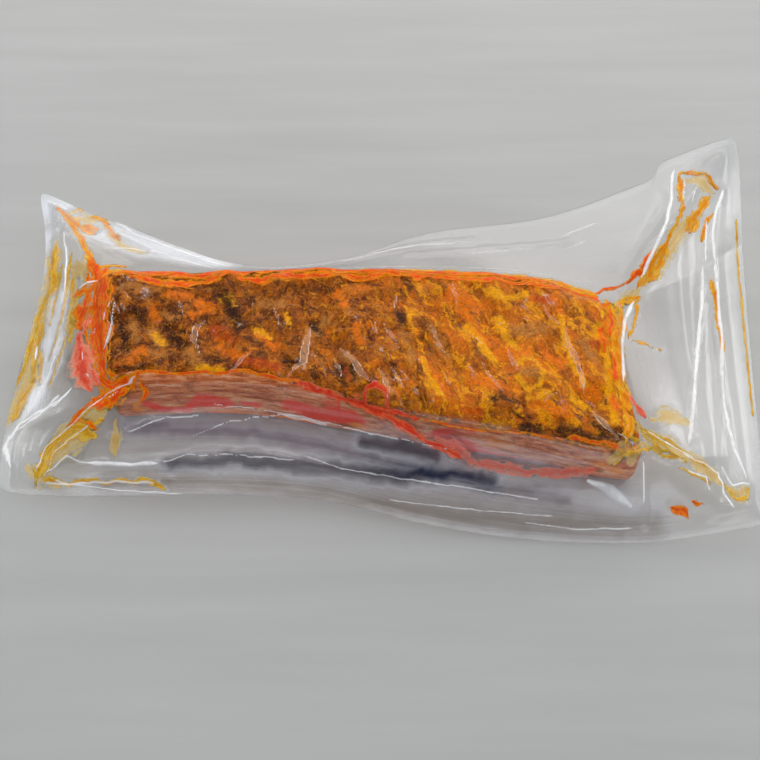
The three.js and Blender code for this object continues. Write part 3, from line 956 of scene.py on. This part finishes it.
lay_sauce("oil_front_left_film", clear_oil, 2.0, [
    (11, (-128, -50), (-144, -60), (-155, -72)), (4, (-123, -54), (-122, -62), (-123, -69)),
    (6, (-162, -70), (-158, -76), (-148, -80)),
])
lay_sauce("oil_left_flange", golden_oil, 0.8, [
    (3.2, (-166, 54), (-166, 40), (-163, 29), (-166, 20)), (1.5, (-167, 24), (-169, 10), (-171, -6)),
    (1.7, (-161, 36), (-164, 26), (-169, 13), (-170, -5), (-174, -21), (-178, -36)),
    (2.6, (-167, 8), (-167, -10), (-166, -24), (-170, -34), (-174, -46)),
    (1.2, (-168, 1), (-164, -15), (-163, -28)),
    (1.2, (-156, 46), (-156, 29), (-156, 11), (-157, -3), (-160, -16)),
    (1.0, (-160, 40), (-161, 20), (-162, 4)), (1.3, (-153, 30), (-152, 15), (-152, 5), (-148, -2)),
    (2.4, (-151, 14), (-146, 18), (-141, 16)), (1.0, (-152, -4), (-155, -18), (-158, -32)),
    (1.8, (-150, 10), (-149, 0), (-150, -10)),
], waviness=0.5)
lay_sauce("oil_left_flange_film", clear_oil, 0.6, [
    (6, (-166, 56), (-166, 30), (-168, 8), (-169, -14), (-172, -34), (-177, -48)),
    (4, (-153, 34), (-151, 14), (-151, -4)),
])
lay_sauce("sauce_right_end", orange_sauce, 2.0, [
    (3.6, (103, 2), (104, -4), (103, -12), (102, -18)), (2.6, (99, -12), (98, -28)),
    (3.0, (100, -50), (101, -60)), (2.6, (102, -27), (102, -44)), (2.2, (100, 4), (106, 7)),
])
lay_sauce("raw_fat_right_end", raw_fat, 1.5, [
    (2.6, (107, -47), (111, -53), (115, -58)),
])
lay_sauce("oil_right_end", thin_sauce, 2.0, [
    (4.5, (104, 8), (107, -6), (105, -24), (105, -44), (107, -58)), (3, (110, 6), (111, -12)),
    (3, (104, -58), (107, -66), (104, -74)), (2, (101, 8), (98, 2), (99, -8)),
])
lay_sauce("oil_corner_front_right", golden_oil, 2.0, [
    (1.1, (104, -62), (114, -64), (126, -66), (135, -70), (144, -76)),
    (1.6, (112, -64), (120, -67), (127, -71)), (1.0, (110, -60), (118, -68), (122, -76)),
    (0.9, (98, -80), (106, -76), (116, -73)), (0.8, (102, -72), (110, -71), (120, -74)),
    (0.9, (112, -66), (122, -74), (130, -74)), (0.9, (116, -72), (126, -72), (134, -76)),
    (1.0, (128, -79), (138, -81), (144, -85)), (1.4, (150, -82), (154, -89), (160, -88), (162, -82)),
])
lay_sauce("oil_corner_front_right_film", clear_oil, 2.0, [
    (6, (108, -66), (126, -68), (140, -75), (150, -84)), (6, (117, -57), (128, -52), (138, -55)),
    (6, (149, -82), (156, -87), (162, -82)), (6, (98, -78), (106, -76), (112, -72)),
])
lay_sauce("sauce_back_right", thin_sauce, 2.5, [
    (1.3, (148, 82), (149, 88), (153, 87), (160, 82), (168, 76)),
    (1.6, (149, 87), (147, 74), (146, 62), (144, 57)), (3.4, (162, 72), (157, 66), (151, 58), (147, 51)),
    (1.5, (162, 62), (157, 56), (154, 46)), (1.4, (146, 60), (142, 52), (137, 44), (132, 35)),
    (2.0, (155, 62), (152, 54), (149, 50)), (3.6, (132, 36), (128, 29), (124, 21), (120, 16)),
    (3.0, (101, -5), (106, 2), (113, 7), (122, 13)), (2.0, (137, 42), (133, 32), (127, 22)),
    (1.4, (120, 10), (118, 1), (115, -8), (113, -13)), (1.0, (113, -13), (122, -15), (130, -17)),
])
lay_sauce("sauce_back_right_slab", orange_sauce, 2.0, [
    (2.0, (131, 38), (127, 32), (121, 24), (114, 17)), (1.3, (116, 18), (106, 16), (100, 12), (94, 10)),
    (2.6, (98, 6), (101, 2), (102, -6)), (1.8, (149, 86), (147, 78)),
])
lay_sauce("oil_back_right", clear_oil, 2.0, [
    (7, (150, 82), (158, 78), (164, 74)), (5.5, (124, 20), (136, 38), (150, 58)),
    (4, (104, 0), (112, 8), (122, 16)),
])
lay_sauce("drips_right_flange", thin_sauce, 0.7, [
    (1.6, (157, 27), (158, 10), (158, -16)),
], waviness=0.3)
lay_sauce("oil_right_rim", golden_oil, 0.3, [
    (0.9, (174, 62), (173, 39), (171, 0), (169, -46)),
], waviness=0.2)
lay_sauce("drops_front_rim", orange_sauce, 0.5, [
    (2.2, (125, -93), (130, -94), (133, -97)), (1.8, (134, -91), (139, -92)),
])
lay_sauce("sauce_front_edge", orange_sauce, 0.5, [
    (0.8, (-112, -38), (-90, -38), (-66, -38), (-39, -43)), (3.5, (-116, -39), (-114, -43)),
    (0.6, (14, -59), (40, -65), (62, -67), (84, -71), (102, -75)),
], waviness=0.3)
lay_sauce("sauce_front_ribbon", red_sauce, 0.5, [
    (1.3, (-44, -42), (-24, -48), (-8, -53), (14, -59)),
    (1.8, (-11, -53), (-9, -48), (-5, -46), (0, -50), (1, -56)),
    (2.4, (-19, -50), (-11, -52.5), (-1, -56.5), (8, -61.5), (19, -67.5), (33, -74)),
], waviness=0.5)
lay_sauce("sauce_front_smear", red_smear, 0.4, [
    (5, (22, -66), (30, -70), (37, -74)), (3.2, (34, -74), (46, -77), (58, -79), (74, -81), (92, -81)),
], waviness=0.8)

# ---- Painted highlights along the film's folds ----
# Where the clear film is folded or pinched, a painted highlight runs along the fold. Each is a
# sliver of the film, doubled over on itself, on the upper sheet, painted white or pinkish white.

FOLD_STAND = 0.12
FOLD_THICKNESS = 0.25


def fold_film(name, material, strokes, waviness=0.3, taper=4.0):
    """Slivers of doubled film on the upper sheet, as (width, points), that carry painted highlights."""
    depth, *_ = drawn(strokes, x, y, waviness, taper)
    ridge = upper + FOLD_STAND + FOLD_THICKNESS * np.clip(depth, 0, 1)
    piece = add_piece(name, x, y, (upper + FOLD_STAND / 2, ridge), {"depth": (depth, depth)}, depth > 0)
    piece.data.materials.append(material)


def highlight_finish(name, colour, core, border, fill):
    """A painted highlight along a fold: a bright core or borders, broken up along the fold."""
    material, tree, shader = new_material(name)
    tree.nodes.remove(shader)
    depth = painted(tree, "depth")
    at_core = ranged(tree, depth, 0.15, 0.75)
    at_border = ranged(tree, apart(tree, depth, 0.25), 0.22, 0.02)
    inside = ranged(tree, depth, 0.2, 0.4)
    bright = larger(tree, times(tree, at_core, core), times(tree, at_border, border))
    broken = times(tree, bright, mask(tree, own_places(tree), 70, 0.1, 0.62))
    share = larger(tree, broken, times(tree, inside, fill))
    white = add_node(tree, "ShaderNodeBsdfDiffuse", {"Color": colour}).outputs[0]
    lay_on(tree, mixed(tree, share, clear(tree), white))
    return material


# Painted highlights, each with its colour and how bright its core, its borders and its whole width are
white_highlight = highlight_finish("white_highlight", (1, 1, 1, 1), 0.8, 0.0, 0.0)
faint_highlight = highlight_finish("faint_highlight", (1, 1, 1, 1), 0.4, 0.0, 0.0)
pinched_highlight = highlight_finish("pinched_highlight", shade(255, 224, 200), 0.0, 0.75, 0.08)

fold_film("highlight_folds_left", white_highlight, [
    (1.3, (-175, -59), (-170, -48), (-154, -42), (-144, -34)),
    (2.4, (-174, -54), (-175, -60), (-171, -70)), (0.8, (-172, -52), (-160, -46), (-150, -36)),
    (1.2, (-136, -71), (-122, -73), (-102, -73)), (0.7, (-150, 20), (-144, 22), (-138, 20)),
    (2.0, (-167, -6), (-167, -14)), (0.8, (-162, 60), (-158, 40), (-156, 20)),
    (0.8, (-166, -40), (-160, -28), (-156, -14)), (0.5, (-127, 4), (-131, -4), (-132, -8)),
    (0.5, (-126, 2), (-128, -10), (-130, -24)), (0.4, (-127, -8), (-129, -22)),
    (0.5, (-136, -6), (-137, -14)), (0.8, (-142, -18), (-141, -24)), (0.7, (-139, -30), (-136, -34)),
    (0.5, (-128, -46), (-120, -42)),
])
fold_film("highlight_folds_front_left", faint_highlight, [
    (0.8, (-155, -77), (-145, -68), (-136, -71), (-122, -73), (-102, -73)),
    (0.5, (-102, -73), (-90, -69), (-78, -69), (-57, -70), (-40, -72)),
    (0.7, (-155, -79), (-129, -80), (-103, -81)),
    (0.7, (-158, -77), (-155, -62), (-141, -54), (-126, -43), (-113, -39)),
    (0.6, (-153, -74), (-150, -66), (-134, -56)), (0.5, (-150, -78), (-120, -84), (-90, -86)),
    (0.6, (-118, -60), (-100, -54), (-84, -53)),
])
fold_film("highlight_folds_back", faint_highlight, [
    (0.9, (-138, 68), (-127, 60), (-114, 55), (-93, 48), (-76, 42)),
    (0.8, (-142, 46), (-127, 48), (-112, 46), (-84, 36)),
    (0.7, (-136, 66), (-120, 62), (-101, 53), (-84, 47)), (0.8, (-24, 46), (4, 50), (36, 50)),
    (0.8, (86, 51), (94, 55), (105, 60)), (0.6, (85, 41), (92, 44), (100, 48)), (0.6, (40, 40), (70, 43)),
    (0.6, (-60, 28), (-20, 29), (20, 28), (60, 26), (90, 20), (104, 18)),
])
fold_film("highlight_folds_right", white_highlight, [
    (1.3, (146, 88), (144, 85), (142, 70), (136, 50), (127, 31), (121, 20)),
    (1.2, (169, 76), (163, 62), (160, 48), (160, 33)),
    (1.3, (160, 36), (159, 15), (158, -10), (156, -27), (155, -43), (157, -66), (162, -79)),
    (1.4, (154, 33), (151, 12), (146, -14), (141, -38), (137, -59), (135, -67)),
    (1.0, (158, 58), (155, 34)), (1.5, (118, 10), (112, -2), (108, -21), (106, -43)),
    (0.8, (131, -71), (140, -74), (148, -77), (149, -87), (153, -96)),
    (0.8, (131, -79), (141, -82), (142, -89)), (0.8, (149, -72), (154, -82), (164, -80)),
    (0.6, (112, -78), (113, -94)), (0.7, (114, -64), (126, -68), (138, -72)),
    (0.6, (150, 84), (148, 72), (146, 62)), (0.6, (154, 82), (153, 72), (151, 64)),
])
fold_film("highlight_folds_front", faint_highlight, [
    (0.5, (-89, -61), (-71, -55), (-48, -54), (-26, -59)),
    (0.5, (-39, -69), (-21, -75), (6, -80), (37, -85), (68, -90)),
    (4.6, (88, -85), (98, -89), (107, -94)),
    (0.5, (-80, -48), (-48, -53), (-26, -58), (6, -66), (28, -71)),
    (0.5, (60, -98), (84, -101), (108, -101)), (0.4, (0, -88), (40, -93), (74, -96)),
    (0.35, (99, -71), (106, -73), (113, -71)), (0.3, (97, -79), (105, -77), (114, -78)),
    (0.3, (104, -66), (108, -74), (116, -80)),
])
# Painted pinkish-white highlights along the wrinkles over the meat
fold_film("highlight_folds_over_meat", pinched_highlight, [(width, *stroke) for _, width, *stroke in PINCHES] + [
    (0.6, (-127, 5), (-131, -3), (-132, -8)), (0.6, (-126, 3), (-128, -10), (-130, -24)),
    (1.5, (-127, -6), (-129, -22)), (2.2, (-83, -9), (-88, -15), (-89, -21), (-85, -29)),
    (2.0, (-71, -39), (-66, -35), (-60, -28)), (1.4, (-97, 3), (-95, -4), (-94, -10)),
    (1.2, (-7, -10), (-4, -20)), (1.3, (5, 8), (4, 2), (3.5, -6)), (1.0, (31, 11), (32, 0), (33, -8)),
    (1.4, (81, -22), (84, -30), (85, -38), (87, -51)), (1.1, (-53, -2), (-51, -9), (-50.5, -14)),
    (1.2, (50, -11), (53, -14)), (1.6, (85, -54), (89, -55), (93, -58)),
    (1.0, (53, -24), (56, -30), (59, -40)), (1.1, (-3, -10), (2, -19), (6, -29)),
    (1.0, (71, 0), (76, -9), (79, -16)), (1.0, (42, -34), (48, -44), (52, -52)),
    (0.9, (-110, 2), (-112, -6)), (1.0, (-64, 6), (-62, -4)), (0.9, (12, -30), (16, -38)),
    (1.0, (62, -6), (66, -14)),
], waviness=0.8, taper=6.0)

# ---- The film ----
# Two sheets of clear plastic film, heat-sealed together round all four edges, and made here as one
# closed skin. It is clearest where meat or sauce wets its inside, and shines where it is free.

FILM_FLANGE_CELLS = 36
FILM_COLUMNS = 240
FILM_ROWS = 80
LINES_TO_RIM = 60
BREAKS_A_METRE = 12
RIM_STARTS = 0.965
FILM_MIRRORS = 0.045
FILM_ROUGHNESS = 0.2
SEAL_SOFTNESS = 0.02
WRINKLE_STRETCH = (0.3, 1, 0.6)
HAZE = 0.42

# Where the film is painted whitish, partly its own haze and partly painted reflection of the
# bright light behind, as (width, points)
HAZE_AND_REFLECTION_PATCHES = [
    (20, (-174, 80), (-160, 76)), (18, (-148, 62), (-118, 50), (-85, 44)), (12, (-172, 60), (-174, 40)),
    (12, (-158, 20), (-160, -20), (-164, -40)),
]
# The same, but fainter
HAZY_PATCHES = [(9, (20, -66), (40, -71), (66, -75), (98, -78), (106, -77))]
# Painted shadow on the free film, in front of the slab out to the front rim, as (width, points)
PAINTED_SHADOW_PATCHES = [
    (9, (-122, -58), (-90, -58), (-60, -60), (-30, -66), (0, -74), (40, -84), (80, -90)),
    (17, (-126, -80), (-100, -80), (-50, -83), (0, -90), (60, -98), (118, -100)),
]
# Painted deep shadow, darker still, where the film meets the slab's foot
DEEP_SHADOW_PATCHES = [
    (9, (-98, -72), (-66, -71), (-39, -73), (5, -79), (28, -79), (46, -82)),
    (8, (-10, -65), (8, -69), (22, -73)),
]

column, line, x, y, meeting = pouch_grid(FILM_FLANGE_CELLS, FILM_COLUMNS, FILM_ROWS, EDGE_CROWDING)
lower, upper = film_heights(column, line, x, y, meeting)
x, y = x + SHIFT_X, y + SHIFT_Y
in_flange = (column[0] != 0) | (line[0] != 0)
to_rim = np.maximum(np.where(column[0] == 0, 0, column[1]), np.where(line[0] == 0, 0, line[1]))
on_meat = np.where(in_flange, 0.0, 1.0)
clinging = on_meat
for waviness, stroke in wetted:
    clinging = np.maximum(clinging, np.clip(2 * smeared([stroke], x, y, waviness), 0, 1))
haze_and_reflection = np.clip(np.maximum(smeared(HAZE_AND_REFLECTION_PATCHES, x, y), HAZE * smeared(HAZY_PATCHES, x, y)), 0, 1)
# Painted shadow and painted deep shadow, on the free film only
painted_shadow = np.clip(smeared(PAINTED_SHADOW_PATCHES, x, y), 0, 1) * in_flange
deep_shadow = np.clip(smeared(DEEP_SHADOW_PATCHES, x, y), 0, 1) * in_flange
bare = np.zeros(x.shape)
film = add_piece("film", x, y, (lower, upper), {
    "reach": (to_rim, to_rim),
    "clinging": (on_meat, clinging),
    "haze_and_reflection": (bare, haze_and_reflection),
    "painted_shadow": (bare, painted_shadow),
    "deep_shadow": (bare, deep_shadow),
})
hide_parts("pouch")


def sheen_share(tree, bump):
    """How much a thin clear sheet mirrors: a little seen square on, all of it seen edge on."""
    facing = add_node(tree, "ShaderNodeLayerWeight", {"Blend": 0.5, "Normal": bump}).outputs["Facing"]
    rest = times(tree, reckoned(tree, "POWER", facing, 5), 1 - FILM_MIRRORS)
    return plus(tree, rest, FILM_MIRRORS)


film_clear, tree, shader = new_material("film_clear")
tree.nodes.remove(shader)
plain = own_places(tree)
here = add_node(tree, "ShaderNodeSeparateXYZ", {0: plain}).outputs
reach = painted(tree, "reach")
beside_rim = add_node(tree, "ShaderNodeCombineXYZ", {
    0: times(tree, reach, LINES_TO_RIM), 1: times(tree, here["X"], BREAKS_A_METRE),
    2: times(tree, here["Y"], BREAKS_A_METRE)}).outputs[0]
sealed = ranged(tree, reach, SEAL_START - SEAL_SOFTNESS, SEAL_START + SEAL_SOFTNESS)
rim = ranged(tree, reach, RIM_STARTS, 1.0)
clinging = painted(tree, "clinging")
loose = minus(tree, 1.0, clinging)

# Its fine relief: crinkles, wrinkles over the meat, and lines along the seal
crinkles = cloudy(tree, plain, 220, 4, 0.55)["Fac"]
calmed = minus(tree, 1.0, times(tree, loose, 0.85))
pulled = stretched(tree, plain, WRINKLE_STRETCH, FIBRE_TURN)
wrinkles_and_glints = times(
    tree, hairlines(tree, pulled, 120, 0.02), mask(tree, plain, 45, 0.56, 0.66), clinging, 0.6)
lines = cloudy(tree, beside_rim, 1, 4, 0.6)["Fac"]
height = plus(tree, times(tree, crinkles, calmed), times(tree, wrinkles_and_glints, 0.6),
              times(tree, lines, sealed, 0.25))
relief = bumped(tree, height, 0.001)

# Its veil, from clear to milky, with painted shadow in front of the slab
brushed = mask(tree, beside_rim, 0.8, 0.5, 0.7)
haze_and_reflection = painted(tree, "haze_and_reflection")
# Painted shadow in front of the slab and painted deep shadow at its foot
painted_shadow = mask(tree, beside_rim, 0.5, 0.0, 1.2, painted(tree, "painted_shadow"), 0.5)
deep_shadow = mask(tree, plain, 40, 0.0, 1.0, painted(tree, "deep_shadow"), 0.4)
# A whitish veil of haze and painted reflection where the film is painted pale
haze_and_reflection_veil = mask(tree, beside_rim, 0.7, 0.15, 1.1, haze_and_reflection, 0.8)
haze_and_reflection_veil = times(tree, haze_and_reflection_veil, plus(tree, times(tree, loose, 0.75), 0.25))
veil = times(tree, brushed, 0.05)
for part, amount in ((sealed, 0.03), (rim, 0.05), (painted_shadow, 0.56), (deep_shadow, 0.5)):
    veil = plus(tree, veil, times(tree, part, amount))
veil = plus(tree, times(tree, veil, loose), times(tree, haze_and_reflection_veil, 0.7), times(tree, wrinkles_and_glints, 0.5))
# Painted shadow colours: blue-grey by the slab, warm brown out by the rim, navy in the deep shadow
shadow_colour = blended(tree, times(tree, reach, 1.6), shade(50, 66, 128), shade(98, 72, 44))
shadow_colour = blended(tree, deep_shadow, shadow_colour, shade(24, 30, 56))
veil_colour = blended(tree, larger(tree, painted_shadow, deep_shadow), (0.93, 0.95, 1, 1), shadow_colour)
# Painted glints: a pinkish-white veil along the wrinkles over the meat
veil_colour = blended(tree, wrinkles_and_glints, veil_colour, shade(250, 216, 196))
veil_layer = add_node(tree, "ShaderNodeBsdfDiffuse", {"Color": veil_colour}).outputs[0]
body = mixed(tree, veil, clear(tree), veil_layer)

# Its shine, strongest where it is taut
gloss = add_node(tree, "ShaderNodeBsdfGlossy", {"Roughness": FILM_ROUGHNESS, "Normal": relief})
taut = larger(tree, loose, larger(tree, wrinkles_and_glints, haze_and_reflection))
strength = plus(tree, times(tree, taut, 0.9), 0.1)
mirrored = times(tree, sheen_share(tree, relief), strength)
lay_on(tree, mixed(tree, mirrored, body, gloss.outputs[0]))
film.data.materials.append(film_clear)
